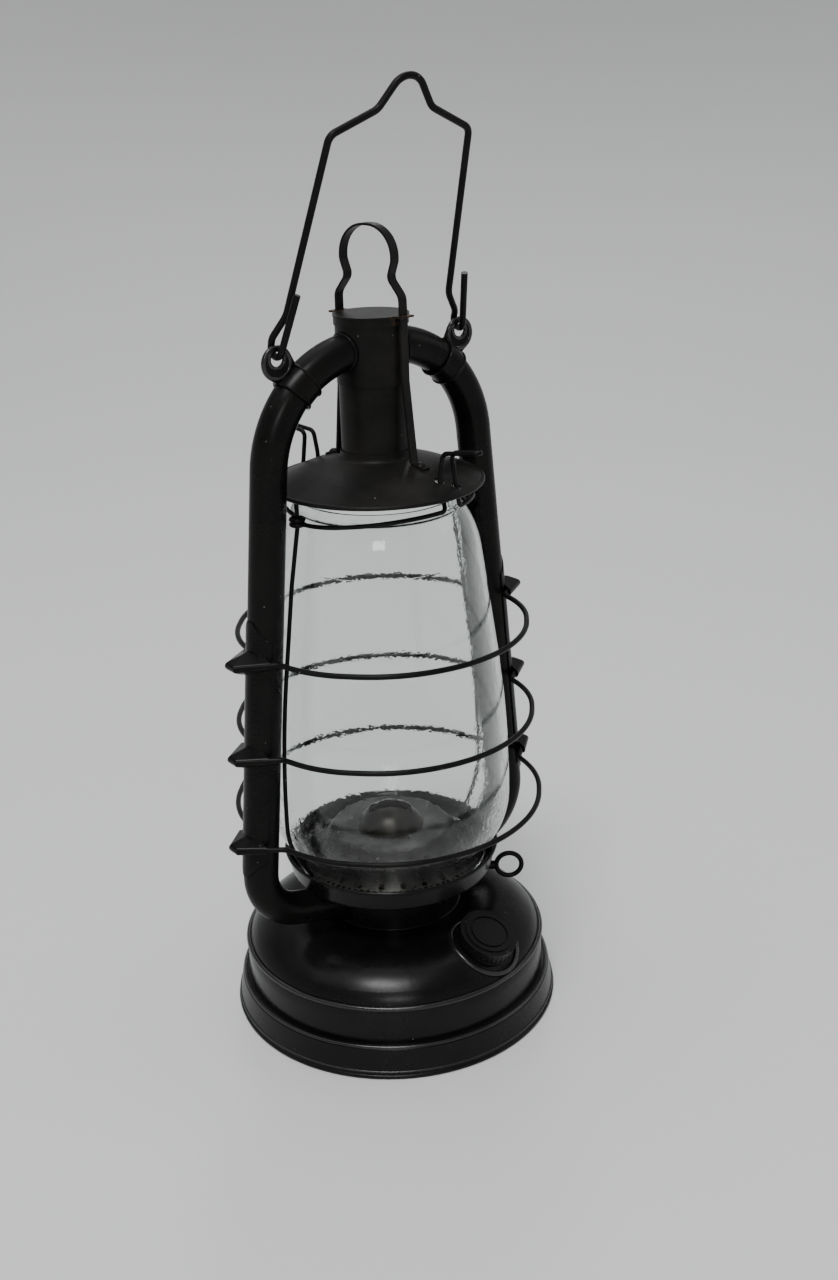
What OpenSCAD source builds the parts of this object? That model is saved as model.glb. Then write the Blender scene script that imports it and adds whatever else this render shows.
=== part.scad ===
// Storm lamp: fount, two air tubes, glass globe, sliding hood and bail.
// It stands on z = 0 with the air tubes in the plane y = 0; the front is -Y.

/* [Base and fount] */
// Outer radius of the rolled foot
foot_radius = 80; // [79.5:0.5:82]
// Width of the foot rim's section
foot_bead = 2.2; // [2:0.1:2.6]
// Radius of the base skirt under its top bead
skirt_top_radius = 76.7; // [76:0.1:77.5]
// Height of the base skirt
skirt_height = 15.8; // [15:0.2:17]
// Sheet thickness of base and fount
fount_sheet = 1; // [0.8:0.1:1.2]
// Outer radius of the fount wall
fount_radius = 73.6; // [72.6:0.2:74]
// Height of the fount's flat crown
crown_height = 49.5; // [48.5:0.5:50]
// Radius of the fount's shoulder under the dome
shoulder_bend = 16.4; // [15:0.2:17]
// Radius of the dome above the shoulder
dome_bend = 32.1; // [30:0.5:33]
// Height where the dome's two slopes meet the wall
shoulder_height = 34.8; // [34:0.2:36]
// Radius where the dome's slope would meet the crown
crown_corner_radius = 58.7; // [58:0.1:59.2]
// Radius of the hole for the burner collar
collar_hole_radius = 20; // [18:0.5:22]
// Wall of the burner collar
collar_wall = 5.5; // [4.5:0.25:6]

/* [Filler] */
// Direction of the filler seen from above
filler_azimuth = -80; // [-95:1:-75]
// Distance of the filler from the lamp's axis
filler_distance = 58.5; // [57:0.5:60]
// Outer radius of the filler neck
neck_radius = 12; // [11:0.25:12.5]
// Wall of the filler neck
neck_wall = 1; // [0.8:0.1:1.5]
// Height of the neck's rim above the dome
neck_rise = 4; // [3.5:0.25:5]
// Outer radius of the filler cap
cap_radius = 14; // [13.8:0.1:15]
// Gap between the filler cap and its neck
cap_clearance = 0.3; // [0.2:0.05:0.4]
// Thickness of the cork gasket
gasket_thickness = 1.2; // [1:0.1:2]
// Number of knurls round the filler cap
knurl_count = 36; // [24:2:44]

/* [Burner] */
// Outer radius of the air chamber
chamber_radius = 33; // [32:0.5:35]
// Rise of the air chamber from the fount's crown to the gallery's floor
chamber_rise = 20.5; // [20:0.25:21.5]
// Sheet thickness of chamber, gallery and hood
sheet = 0.8; // [0.7:0.1:0.9]
// Outer radius of the gallery's rolled rim
gallery_rim_radius = 52.2; // [51.6:0.2:53]
// Rise of the gallery rim's centre over the gallery's floor
gallery_rise = 11.5; // [10:0.5:13]
// Rise of the globe's seat over the gallery's floor
seat_rise = 4; // [3.6:0.1:4]
// Rise of the perforated deck's flat top over the gallery's floor
deck_rise = 21; // [20:0.5:23]
// Radius of the perforated deck's flat top
deck_top_radius = 28.5; // [27:0.5:30]
// Diameter of the air holes in the deck
air_hole = 2.6; // [2:0.1:3]
// Number of air holes in each row
air_hole_count = 24; // [12:2:28]
// Radius of the burner dome
burner_dome_radius = 16; // [15.5:0.25:17]
// Rise of the burner dome above the deck
burner_dome_rise = 11; // [10:0.5:12]
// Width of the flat wick
wick_width = 16; // [14:0.5:17]
// Thickness of the flat wick
wick_thickness = 2.4; // [2:0.1:2.8]
// Rise of the wick's top end over the deck, at rest
wick_rise = 5.5; // [3:0.5:7]
// Height of the wick's lower end, at rest
wick_foot = 28; // [27:1:40]
// Wall of the wick tube
wick_tube_wall = 0.8; // [0.6:0.1:1]

/* [Wick key] */
// Direction of the key seen from above
key_azimuth = -37; // [-45:1:-30]
// Rise of the spindle over the fount's crown
spindle_rise = 18; // [17.5:0.1:18.1]
// Diameter of the spindle wire
spindle_wire = 2.4; // [2:0.1:2.6]
// Distance of the key loop's centre from the lamp's axis
key_distance = 57.5; // [57:0.5:60]
// Radius of the key loop to the wire's centre
key_loop = 6.2; // [5.8:0.1:6.5]
// Radius of the toothed feed wheels
feed_wheel_radius = 3.4; // [3:0.1:3.6]
// Distance of the feed wheels from the wick's middle
wheel_place = 5; // [4:0.5:6]
// Outer diameter of the spindle's bush
bush_diameter = 5; // [4.5:0.1:5.2]

/* [Air tubes] */
// Outer diameter of the air tubes
tube_diameter = 16; // [15.5:0.25:16.25]
// Wall of the air tubes
tube_wall = 1; // [0.8:0.1:1.5]
// Distance of the tubes from the lamp's axis at the upper corner
tube_top_x = 53.1; // [52.5:0.1:53.5]
// Height of the upper corner
tube_top_z = 315.5; // [314:0.5:317]
// Distance of the tubes from the lamp's axis at the lower corner
tube_foot_x = 77.4; // [77:0.1:78.5]
// Rise of the lower corner over the fount's crown
tube_foot_rise = 22.6; // [22:0.1:23.5]
// Bend radius of the tubes at the top
tube_top_bend = 49.7; // [46:0.5:50]
// Bend radius of the tubes at the foot
tube_foot_bend = 24; // [22:1:28]
// Rise of the tube from the corner into the head
head_entry_slope = 10; // [8:0.5:12]
// Fall of the tube from the corner into the air chamber
chamber_entry_slope = 16; // [14:0.5:16]

/* [Canopy head] */
// Outer radius of the canopy head
head_radius = 15.8; // [15.6:0.1:16.2]
// Height of the head's lower edge
head_bottom = 308; // [306:0.5:309]
// Height of the head's upper edge
head_top = 336.5; // [335:0.5:338]
// Sheet thickness of the head and chimney tube
head_sheet = 0.6; // [0.5:0.1:0.8]
// Overhang of the cap beyond the head
cap_overhang = 0.8; // [0.8:0.1:1]
// Width of the cap's two lugs
lug_width = 8; // [7.5:0.25:9]
// Reach of the lugs from the lamp's axis
lug_reach = 20.5; // [20:0.25:22]

/* [Hood and lift] */
// Gap between the chimney tube and the head round it
slide_clearance = 0.1; // [0.06:0.01:0.1]
// Height of the chimney tube's upper end
chimney_top = 312.5; // [311.5:0.25:313]
// Height of the chimney tube's lower end
chimney_bottom = 273; // [272:0.5:274]
// Radius of the hood's rolled rim
hood_radius = 48.2; // [47.5:0.1:48.4]
// Height of the rim's centre
hood_rim_height = 263.8; // [263.8:0.1:264.2]
// Height of the hood where it meets the chimney tube
hood_neck_height = 275; // [274.6:0.1:275.4]
// Radius at which the hood steepens
hood_break_radius = 33; // [32.5:0.5:34]
// Height at which the hood steepens
hood_break_height = 270.05; // [269.9:0.05:270.3]
// Direction of the strap and the finger hooks seen from above
strap_azimuth = -77; // [-80:1:-75]
// Width of the strap
strap_width = 4.6; // [4:0.2:5]
// Thickness of the strap
strap_thickness = 1; // [0.8:0.1:1.1]
// Distance of the strap's legs from the lamp's axis
strap_reach = 17.7; // [17.6:0.05:17.8]
// Height of the strap's top
strap_top = 374.5; // [373.5:0.5:377]
// Distance of the strap's rivets from the lamp's axis
rivet_distance = 25; // [24.5:0.25:25.5]
// Diameter of the rivet shanks
rivet_shank = 2.2; // [1.8:0.1:2.4]
// Free coils of the return spring
spring_turns = 5; // [4:1:5]
// Wire of the return spring
spring_wire = 1; // [0.8:0.1:1.1]
// Mean radius of the return spring
spring_radius = 11.5; // [11.5:0.1:12]

/* [Globe] */
// Wall of the glass
glass = 2; // [1.6:0.1:2.2]
// Radius of the foot, to the middle of the glass
globe_foot_radius = 45; // [44.8:0.1:45.2]
// Radius of the belly, to the middle of the glass
globe_belly_radius = 57.1; // [56.5:0.1:57.1]
// Radius of the shoulder corner
globe_shoulder_radius = 43.95; // [43.5:0.05:44]
// Height of the shoulder corner
globe_shoulder = 242.1; // [241:0.1:242.2]
// Height of the top edge
globe_top = 257.4; // [257:0.1:258]

/* [Wire cradle] */
// Wire of the cradle
cradle_wire = 2; // [1.8:0.1:2.1]
// Gap between the glass and the side legs
cradle_gap = 0.5; // [0.4:0.05:0.6]
// Radius of the neck bows
bow_radius = 42.5; // [42:0.1:42.8]
// Height of the bows in the middle, at front and back
bow_height = 257; // [256.5:0.1:257.5]
// Height of the side legs' upper ends
leg_top = 264.2; // [263.5:0.1:264.2]
// Distance of the side legs from the lamp's axis at the neck
leg_neck_x = 43.9; // [43.7:0.1:44]
// Reach of the finger hooks
hook_reach = 56.7; // [55:0.5:58]
// Height of the finger hooks' tips
hook_height = 283.2; // [282:0.5:285]
// Height of the front bow's eyes
front_eye_z = 252.2; // [251.5:0.1:252.6]
// Bend radius where a side leg turns in under the globe's foot
leg_foot_bend = 5.4; // [4.5:0.1:5.6]
// Bend radius where a side leg leaves the globe's neck
leg_neck_bend = 60; // [50:1:70]

/* [Ears and bail] */
// Distance of the ears from the lamp's axis
ear_x = 49.3; // [49.2:0.1:49.4]
// Height of the ear discs
ear_z = 322.3; // [322.2:0.1:322.4]
// Radius of the ear discs
ear_radius = 7.4; // [7.3:0.1:7.5]
// Radius of the hole in each ear
ear_hole = 3.1; // [3:0.05:3.2]
// Height of the hole above the disc's centre
ear_hole_rise = 1.7; // [1.6:0.05:1.8]
// Sheet thickness of the ears
ear_sheet = 1.2; // [1:0.1:1.2]
// Wire of the bail
bail_wire = 3; // [2.8:0.1:3]
// Radius of the hooks at the bail's ends
bail_hook = 3.5; // [3.4:0.05:3.6]
// Length of the free tails
bail_tail = 24; // [20:1:27]
// Rise of the peak above the hinge
bail_peak = 107.8; // [105:0.5:112]
// Forward lean of the bail at rest
bail_lean = 17; // [0:1:30]

/* [Guards] */
// Wire of the guard rings
guard_wire = 2.5; // [2:0.1:2.5]
// Heights of the three rings
guard_heights = [196, 152, 109];
// Radius of each ring round the globe
guard_radii = [66.5, 69, 72.4];
// Distance of each ring's points from the tube's axis
guard_offsets = [16.3, 14.6, 13.4];
// Bend radius of the rings' points at the sides
guard_point_bend = 4; // [3.5:0.25:4.5]
// Bend radius where the rings turn in beside the tubes
pinch_bend = 5; // [4.5:0.25:5.5]
// Sheet thickness of the guard strips
strip_sheet = 0.6; // [0.5:0.1:0.6]
// Half angle that a strip covers of its tube
strip_half_angle = 75; // [65:1:80]
// Height of the guard strips' lower tongues
strip_low = 92.5; // [90:0.5:94]
// Height of the guard strips' upper tongues
strip_high = 214; // [210:1:220]
// Length of the tongues
tongue = 9; // [7:0.5:11]
// Slope of a fold's upper side
fold_high = 26; // [25:1:40]
// Slope of a fold's lower side
fold_low = 30; // [28:1:50]

/* [Hidden] */
$fn = 64;
far = 400;
// Bends are a hair thicker than the straights, which reach a little into them.
bend_step = 0.01;
bend_lap = 0.05;

black_paint = [0.07, 0.07, 0.08];
dark_steel = [0.16, 0.16, 0.17];
old_brass = [0.45, 0.36, 0.2];
spring_steel = [0.45, 0.45, 0.47];
clear_glass = [0.8, 0.86, 0.84, 0.35];
cotton = [0.72, 0.66, 0.54];
cork = [0.55, 0.4, 0.26];

// The fount's section, along the middle of its sheet.
fount_line = [
  [fount_radius - fount_sheet / 2, skirt_height],
  [fount_radius - fount_sheet / 2, shoulder_height],
  [crown_corner_radius, crown_height - fount_sheet / 2],
  [collar_hole_radius, crown_height - fount_sheet / 2]
];
dome_turn = turn_angle(fount_line[2] - fount_line[1], fount_line[3] - fount_line[2]);
dome_centre = [
  crown_corner_radius - dome_bend * tan(dome_turn / 2),
  crown_height - fount_sheet / 2 - dome_bend
];
dome_outer = dome_bend + fount_sheet / 2;
filler_tilt = asin((filler_distance - dome_centre[0]) / dome_outer);
filler_z = dome_centre[1] + dome_outer * cos(filler_tilt);
cap_sheet = 0.8;
cap_top = neck_rise + gasket_thickness + cap_sheet;

// Heights of the burner's pieces and of the globe's foot.
chamber_top = crown_height + chamber_rise;
floor_top = chamber_top + sheet;
gallery_rim_height = chamber_top + gallery_rise;
seat_height = chamber_top + seat_rise;
seat_gap = 0.3;
globe_foot = seat_height + cradle_wire + seat_gap;
deck_height = chamber_top + deck_rise;
wick_top = deck_height + wick_rise;
spindle_height = crown_height + spindle_rise;
tube_foot_z = crown_height + tube_foot_rise;

// The flat wick stands along the spindle, which turns in front of it.
wick_slot_width = wick_width + 0.6;
wick_slot_thickness = wick_thickness + 0.6;
wick_tube_width = wick_slot_width + 2 * wick_tube_wall;
wick_tube_depth = wick_slot_thickness + 2 * wick_tube_wall;
feed_clearance = 0.1;
spindle_offset = wick_thickness / 2 + feed_wheel_radius + feed_clearance;
collar_top = crown_height + 2.5;

// The air tube's corners, from the air chamber to the head.
tube_line = [
  [chamber_radius - 4, 0, tube_foot_z - (tube_foot_x - chamber_radius + 4) * tan(chamber_entry_slope)],
  [tube_foot_x, 0, tube_foot_z],
  [tube_top_x, 0, tube_top_z],
  [head_radius - 4, 0, tube_top_z + (tube_top_x - head_radius + 4) * tan(head_entry_slope)]
];
tube_bends = [0, tube_foot_bend, tube_top_bend, 0];
tube_lean = atan((tube_foot_x - tube_top_x) / (tube_top_z - tube_foot_z));
tube_top_turn = 90 - head_entry_slope - tube_lean;
tube_arc_start = tube_line[2] + tube_top_bend * tan(tube_top_turn / 2) * [sin(tube_lean), 0, -cos(tube_lean)];
tube_arc_centre = tube_arc_start - tube_top_bend * [cos(tube_lean), 0, sin(tube_lean)];
tube_r = tube_diameter / 2;

ear_angle = atan2(ear_z - tube_arc_centre[2], ear_x - tube_arc_centre[0]);
ear_hole_z = ear_z + ear_hole_rise;
bail_axis_z = (ear_hole_z + ear_hole + ear_z + ear_radius) / 2;

chimney_radius = head_radius - head_sheet - slide_clearance;
cap_disc_radius = head_radius + cap_overhang;
cap_skirt = 3.5;
hood_line = [
  [chimney_radius + sheet / 2, hood_neck_height + 3.4],
  [chimney_radius + sheet / 2, hood_neck_height],
  [hood_break_radius, hood_break_height],
  [hood_radius - 1, hood_rim_height + 0.1]
];
hood_slope = atan((hood_line[1][1] - hood_line[2][1]) / (hood_line[2][0] - hood_line[1][0]));

// The globe's section, along the middle of the glass.
globe_line = [
  [globe_foot_radius, globe_foot],
  [globe_foot_radius, globe_foot + 4.2],
  [globe_belly_radius, globe_foot + 23.9],
  [globe_belly_radius, globe_foot + 71.9],
  [globe_shoulder_radius, globe_shoulder],
  [globe_shoulder_radius - 6.15, globe_shoulder + 10.6],
  [globe_shoulder_radius - 8.7, globe_shoulder + 11.5],
  [globe_shoulder_radius - 9.1, globe_top]
];
globe_bends = [0, 8, 35, 500, 55, 2, 1.8, 0];
cradle_ring_z = globe_foot - cradle_wire / 2;
leg_offset = glass / 2 + cradle_gap + cradle_wire / 2;
eye_radius = cradle_wire / 2 + 1.7;
back_eye_z = front_eye_z + cradle_wire + 0.2;

function unit(v) = v / norm(v);
function turn_angle(a, b) = acos(max(-1, min(1, unit(a) * unit(b))));
function reach(p, bends, i) = bends[i] * tan(turn_angle(p[i] - p[i - 1], p[i + 1] - p[i]) / 2);
function run_start(p, bends, i) = i == 0 || i == len(p) - 1 ? 0 : reach(p, bends, i) - bend_lap;
function reversed(v) = [for (i = [len(v) - 1:-1:0]) v[i]];
function mirrored(p) = [for (q = reversed(p)) [-q[0], q[1], q[2]]];
function mirrored_flat(p) = [for (q = reversed(p)) [-q[0], q[1]]];

// A point moved sideways from a corner, so that both runs keep their distance.
function side_of(v) = [unit(v)[1], -unit(v)[0]];
function beside(p, i, d) =
  let(a = side_of(p[i] - p[i - 1]), b = side_of(p[i + 1] - p[i]))
  p[i] + d * (a + b) / (1 + a * b);

// Corners of a round arc, for a path whose bends have the arc's radius.
function arc_corners(radius, from, to, count) =
  let(step = (to - from) / count)
  [for (i = [0:count - 1])
    let(a = from + step * (i + 0.5)) radius / cos(step / 2) * [cos(a), sin(a)]];

function tube_x(z) = tube_foot_x - (z - tube_foot_z) * tan(tube_lean);
function hood_top_z(r) =
  hood_line[1][1] - (r - hood_line[1][0]) * tan(hood_slope) + sheet / 2 / cos(hood_slope);

// A round wire along points, with a bend radius at each inner point.
module wire_run(from, to, diameter) {
  run = to - from;
  length = norm(run);
  translate(from)
    rotate([0, acos(run[2] / length), atan2(run[1], run[0])])
      cylinder(d = diameter, h = length);
}

module wire_bend(corner, into, out, radius, diameter) {
  turn = turn_angle(into, out);
  if (turn > 0.05) {
    u = unit(into);
    side = unit(unit(out) - u * cos(turn));
    centre = corner - u * radius * tan(turn / 2) + side * radius;
    axis = cross(-side, u);
    multmatrix([
      [-side[0], u[0], axis[0], centre[0]],
      [-side[1], u[1], axis[1], centre[1]],
      [-side[2], u[2], axis[2], centre[2]],
      [0, 0, 0, 1]
    ])
      rotate_extrude(angle = turn)
        translate([radius, 0])
          circle(d = diameter + 2 * bend_step);
  }
}

module wire_path(p, bends, diameter) {
  last = len(p) - 1;
  for (i = [0:last - 1]) {
    along = unit(p[i + 1] - p[i]);
    wire_run(
      p[i] + along * run_start(p, bends, i),
      p[i + 1] - along * run_start(p, bends, i + 1),
      diameter
    );
  }
  for (i = [1:last - 1])
    wire_bend(p[i], p[i] - p[i - 1], p[i + 1] - p[i], bends[i], diameter);
}

module wire_loop(corners, bends, diameter) {
  count = len(corners);
  p = concat([corners[count - 1]], corners, [corners[0], corners[1]]);
  b = concat([bends[count - 1]], bends, [bends[0], bends[1]]);
  for (i = [1:count]) {
    along = unit(p[i + 1] - p[i]);
    wire_run(
      p[i] + along * run_start(p, b, i),
      p[i + 1] - along * run_start(p, b, i + 1),
      diameter
    );
    wire_bend(p[i], p[i] - p[i - 1], p[i + 1] - p[i], b[i], diameter);
  }
}

// The flat section of a bent sheet along points, with bends at inner points.
module sheet_bend(corner, into, out, radius, thickness) {
  turn = turn_angle(into, out);
  if (turn > 0.05) {
    u = unit(into);
    side = unit(unit(out) - u * cos(turn));
    centre = corner - u * radius * tan(turn / 2) + side * radius;
    start = atan2(-side[1], -side[0]);
    way = u[0] * out[1] - u[1] * out[0] > 0 ? 1 : -1;
    size = 2 * (radius + thickness);
    translate(centre)
      intersection() {
        difference() {
          circle(r = radius + thickness / 2 + bend_step);
          circle(r = radius - thickness / 2 - bend_step);
        }
        polygon([
          [0, 0],
          size * [cos(start), sin(start)],
          size * [cos(start + way * turn / 2), sin(start + way * turn / 2)],
          size * [cos(start + way * turn), sin(start + way * turn)]
        ]);
      }
  }
}

module sheet_path(p, bends, thickness) {
  last = len(p) - 1;
  for (i = [0:last - 1]) {
    along = unit(p[i + 1] - p[i]);
    start = run_start(p, bends, i);
    length = norm(p[i + 1] - p[i]) - start - run_start(p, bends, i + 1);
    translate(p[i] + along * start)
      rotate(atan2(along[1], along[0]))
        translate([0, -thickness / 2])
          square([length, thickness]);
  }
  for (i = [1:last - 1])
    sheet_bend(p[i], p[i] - p[i - 1], p[i + 1] - p[i], bends[i], thickness);
}

module ring(outer, inner, from, to) {
  translate([0, 0, from])
    difference() {
      cylinder(r = outer, h = to - from);
      translate([0, 0, -1])
        cylinder(r = inner, h = to - from + 2);
    }
}

module torus(radius, diameter) {
  rotate_extrude()
    translate([radius, 0])
      circle(d = diameter);
}

// Fount and base.
module base_skirt() {
  color(black_paint)
    rotate_extrude() {
      sheet_path(
        [
          [foot_radius - foot_bead / 2, foot_bead / 2],
          [skirt_top_radius, skirt_height - 1.6],
          [skirt_top_radius - 1.6, skirt_height - fount_sheet / 2],
          [fount_radius - 8, skirt_height - fount_sheet / 2]
        ],
        [0, 0.7, 1.2, 0],
        fount_sheet
      );
      translate([foot_radius - foot_bead / 2, foot_bead / 2])
        circle(d = foot_bead);
      translate([foot_radius - foot_bead, 0])
        square([foot_bead - 0.6, foot_bead / 2]);
    }
}

module fount_bottom() {
  floor_z = skirt_height - fount_sheet * 1.5;
  color(dark_steel)
    rotate_extrude()
      sheet_path(
        [[fount_radius - 3, floor_z], [56, floor_z], [53, floor_z + 2], [0, floor_z + 2]],
        [0, 2, 2, 0],
        fount_sheet
      );
}

module at_filler() {
  rotate([0, 0, filler_azimuth])
    translate([filler_distance, 0, filler_z])
      rotate([0, filler_tilt, 0])
        children();
}

module fount_shell() {
  color(black_paint)
    difference() {
      rotate_extrude()
        sheet_path(fount_line, [0, shoulder_bend, dome_bend, 0], fount_sheet);
      at_filler()
        translate([0, 0, -10])
          cylinder(r = neck_radius, h = 20);
    }
}

module filler_neck() {
  color(black_paint)
    at_filler()
      ring(neck_radius, neck_radius - neck_wall, -5, neck_rise);
}

module cap_gasket() {
  color(cork)
    at_filler()
      translate([0, 0, neck_rise])
        cylinder(r = neck_radius, h = gasket_thickness);
}

module filler_cap() {
  knurl = 0.5;
  color(black_paint)
    at_filler()
      difference() {
        union() {
          translate([0, 0, 0.6])
            cylinder(r = cap_radius, h = cap_top - 0.6);
          translate([0, 0, cap_top])
            cylinder(r = cap_radius - 2.4, h = 0.6);
        }
        translate([0, 0, -1])
          cylinder(r = neck_radius + cap_clearance, h = cap_top - cap_sheet + 1);
        translate([0, 0, cap_top])
          ring(cap_radius - 4.6, cap_radius - 5.6, -0.1, 1);
        for (i = [0:knurl_count - 1])
          rotate([0, 0, i * 360 / knurl_count])
            translate([cap_radius + knurl / 2, 0, 0])
              cylinder(r = knurl, h = cap_top - 1.2, $fn = 16);
      }
}

// Air chamber, gallery and burner.
module at_key_line(along) {
  rotate([0, 0, key_azimuth])
    translate([along, -spindle_offset, spindle_height])
      rotate([0, 90, 0])
        children();
}

module air_chamber() {
  wall = chamber_radius - sheet / 2;
  color(black_paint)
    difference() {
      rotate_extrude()
        sheet_path(
          [
            [chamber_radius + 3, crown_height + sheet / 2],
            [wall, crown_height + sheet / 2],
            [wall, chamber_top]
          ],
          [0, 1, 0],
          sheet
        );
      air_tube_outside();
      mirror([1, 0, 0])
        air_tube_outside();
      at_key_line(chamber_radius - 6)
        cylinder(d = bush_diameter, h = 12);
    }
}

// Room for both air tubes where they pass under the gallery.
module tube_notches() {
  for (side = [0, 1])
    mirror([side, 0, 0])
      wire_path(tube_line, tube_bends, tube_diameter + 2 * seat_gap);
}

module gallery_pan() {
  wall_foot = gallery_rim_radius - 3.6;
  color(black_paint)
    difference() {
      rotate_extrude() {
        sheet_path(
          [
            [gallery_rim_radius - 1.3, gallery_rim_height],
            [wall_foot, chamber_top + sheet / 2],
            [chamber_radius - 2, chamber_top + sheet / 2]
          ],
          [0, 2.5, 0],
          sheet
        );
        translate([gallery_rim_radius - 0.9, gallery_rim_height])
          circle(d = 1.8);
      }
      tube_notches();
    }
}

deck_sheet = 0.7;
deck_skirt = globe_foot_radius + 1.3;
deck_line = [
  [deck_skirt, floor_top],
  [deck_skirt, seat_height - deck_sheet / 2],
  [globe_foot_radius - 2.4, seat_height - deck_sheet / 2],
  [deck_top_radius, deck_height - deck_sheet / 2],
  [burner_dome_radius - 2, deck_height - deck_sheet / 2]
];

module perforated_plate() {
  slope = deck_line[3] - deck_line[2];
  tilt = atan2(slope[1], -slope[0]);
  color(dark_steel)
    difference() {
      rotate_extrude()
        sheet_path(deck_line, [0, 0.8, 1.2, 2.5, 0], deck_sheet);
      tube_notches();
      for (row = [0, 1]) {
        along = deck_line[2] + slope * (0.3 + 0.4 * row);
        for (i = [0:air_hole_count - 1])
          rotate([0, 0, (i + row / 2) * 360 / air_hole_count])
            translate([along[0], 0, along[1]])
              rotate([0, tilt, 0])
                translate([0, 0, -2])
                  cylinder(d = air_hole, h = 4, $fn = 16);
      }
    }
}

module burner_dome() {
  big = (burner_dome_radius ^ 2 + burner_dome_rise ^ 2) / 2 / burner_dome_rise;
  color(old_brass)
    difference() {
      intersection() {
        translate([0, 0, deck_height + burner_dome_rise - big])
          difference() {
            sphere(r = big);
            sphere(r = big - sheet);
          }
        translate([0, 0, deck_height])
          cylinder(r = burner_dome_radius, h = burner_dome_rise + 1);
      }
      rotate([0, 0, key_azimuth])
        translate([0, 0, deck_height + burner_dome_rise])
          cube([wick_tube_width + 3, wick_tube_depth + 3, 14], center = true);
    }
}

module burner_collar() {
  color(old_brass) {
    ring(collar_hole_radius, collar_hole_radius - collar_wall, crown_height - 3, collar_top);
    ring(collar_hole_radius + 3, collar_hole_radius, crown_height, crown_height + 1.2);
  }
}

module burner_plug() {
  color(old_brass)
    difference() {
      union() {
        translate([0, 0, crown_height - 2])
          cylinder(r = collar_hole_radius - collar_wall, h = collar_top - crown_height + 2);
        translate([0, 0, collar_top])
          cylinder(r = collar_hole_radius - 2, h = 2);
      }
      rotate([0, 0, key_azimuth])
        cube([wick_tube_width, wick_tube_depth, far], center = true);
    }
}

module wick_tube() {
  tube_low = crown_height - 2;
  tube_high = deck_height + 3;
  color(old_brass)
    rotate([0, 0, key_azimuth])
      difference() {
        translate([-wick_tube_width / 2, -wick_tube_depth / 2, tube_low])
          cube([wick_tube_width, wick_tube_depth, tube_high - tube_low]);
        cube([wick_slot_width, wick_slot_thickness, far], center = true);
        for (x = [-wheel_place, wheel_place])
          translate([x - 1.2, -wick_tube_depth, spindle_height - feed_wheel_radius - 0.5])
            cube([2.4, wick_tube_depth, 2 * feed_wheel_radius + 1]);
      }
}

module wick() {
  color(cotton)
    rotate([0, 0, key_azimuth])
      translate([-wick_width / 2, -wick_thickness / 2, wick_foot])
        cube([wick_width, wick_thickness, wick_top - wick_foot]);
}

module spindle_bush() {
  color(old_brass)
    at_key_line(chamber_radius - 3) {
      ring(bush_diameter / 2, spindle_wire / 2 + 0.08, 0, 5);
    }
}

module wick_spindle() {
  color(dark_steel)
    at_key_line(-9)
      cylinder(d = spindle_wire, h = key_distance - key_loop - spindle_wire / 2 + 8.9);
}

module feed_wheels() {
  color(dark_steel)
    for (x = [-wheel_place, wheel_place])
      at_key_line(x - 0.6)
        difference() {
          ring(feed_wheel_radius, spindle_wire / 2, 0, 1.2);
          for (i = [0:9])
            rotate([0, 0, i * 36])
              translate([feed_wheel_radius + 0.2, 0, -1])
                cylinder(r = 0.7, h = 4, $fn = 16);
        }
}

module wick_key() {
  sleeve = key_distance - key_loop - spindle_wire / 2;
  color(black_paint) {
    difference() {
      at_key_line(sleeve - 4.5)
        cylinder(d = spindle_wire + 1.8, h = 5);
      at_key_line(0)
        cylinder(d = spindle_wire, h = sleeve - 0.1);
    }
    at_key_line(key_distance)
      rotate([90, 0, 0])
        torus(key_loop, spindle_wire);
  }
}

// Air tubes with their guards.
module air_tube_outside() {
  wire_path(tube_line, tube_bends, tube_diameter);
}

module air_tube() {
  inner_line = [
    tube_line[0] - 5 * unit(tube_line[1] - tube_line[0]),
    tube_line[1],
    tube_line[2],
    tube_line[3] + 5 * unit(tube_line[3] - tube_line[2])
  ];
  color(black_paint)
    difference() {
      air_tube_outside();
      wire_path(inner_line, tube_bends, tube_diameter - 2 * tube_wall);
      translate([0, 0, head_bottom])
        cylinder(r = head_radius - head_sheet, h = head_top - head_bottom + 10);
      cylinder(r = chamber_radius - sheet, h = chamber_top + 20);
    }
}

module right_air_tube() {
  air_tube();
}

module left_air_tube() {
  mirror([1, 0, 0])
    air_tube();
}

module on_tube(z) {
  translate([tube_x(z), 0, z])
    rotate([0, -tube_lean, 0])
      children();
}

// Where a guard ring leaves its point: the run to the globe side just clears the strip.
strip_outer = tube_r + 0.05 + strip_sheet;
run_clearance = strip_outer + guard_wire / 2 + 0.25;
function point_x(i) = tube_x(guard_heights[i]) + guard_offsets[i] + point_overshoot(i);
function point_overshoot(i) = guard_point_bend * (1 / run_sine(i) - 1);
function run_sine(i) = run_clearance / (guard_offsets[i] + 0.7 * guard_point_bend);
function run_angle(i) = asin(run_clearance / (point_x(i) - tube_x(guard_heights[i])));

// A fold of the strip round a guard ring's point, open towards the tube. Its hollow
// and its outside are each the part that three wedges share: two along the wire's
// runs and one across the point.
fold_wrap = guard_wire / 2 + 0.35;
fold_back = 30;

module fold_wedge(corner, angle, wrap) {
  translate(corner)
    rotate([0, 0, angle])
      rotate([90, 0, 0])
        linear_extrude(height = 2 * fold_back, center = true) {
          circle(r = wrap + bend_step);
          polygon([
            wrap * [sin(fold_high), cos(fold_high)],
            wrap * [sin(fold_high), cos(fold_high)] + fold_back * [-1, tan(fold_high)],
            wrap * [sin(fold_low), -cos(fold_low)] + fold_back * [-1, -tan(fold_low)],
            wrap * [sin(fold_low), -cos(fold_low)]
          ]);
        }
}

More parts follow.
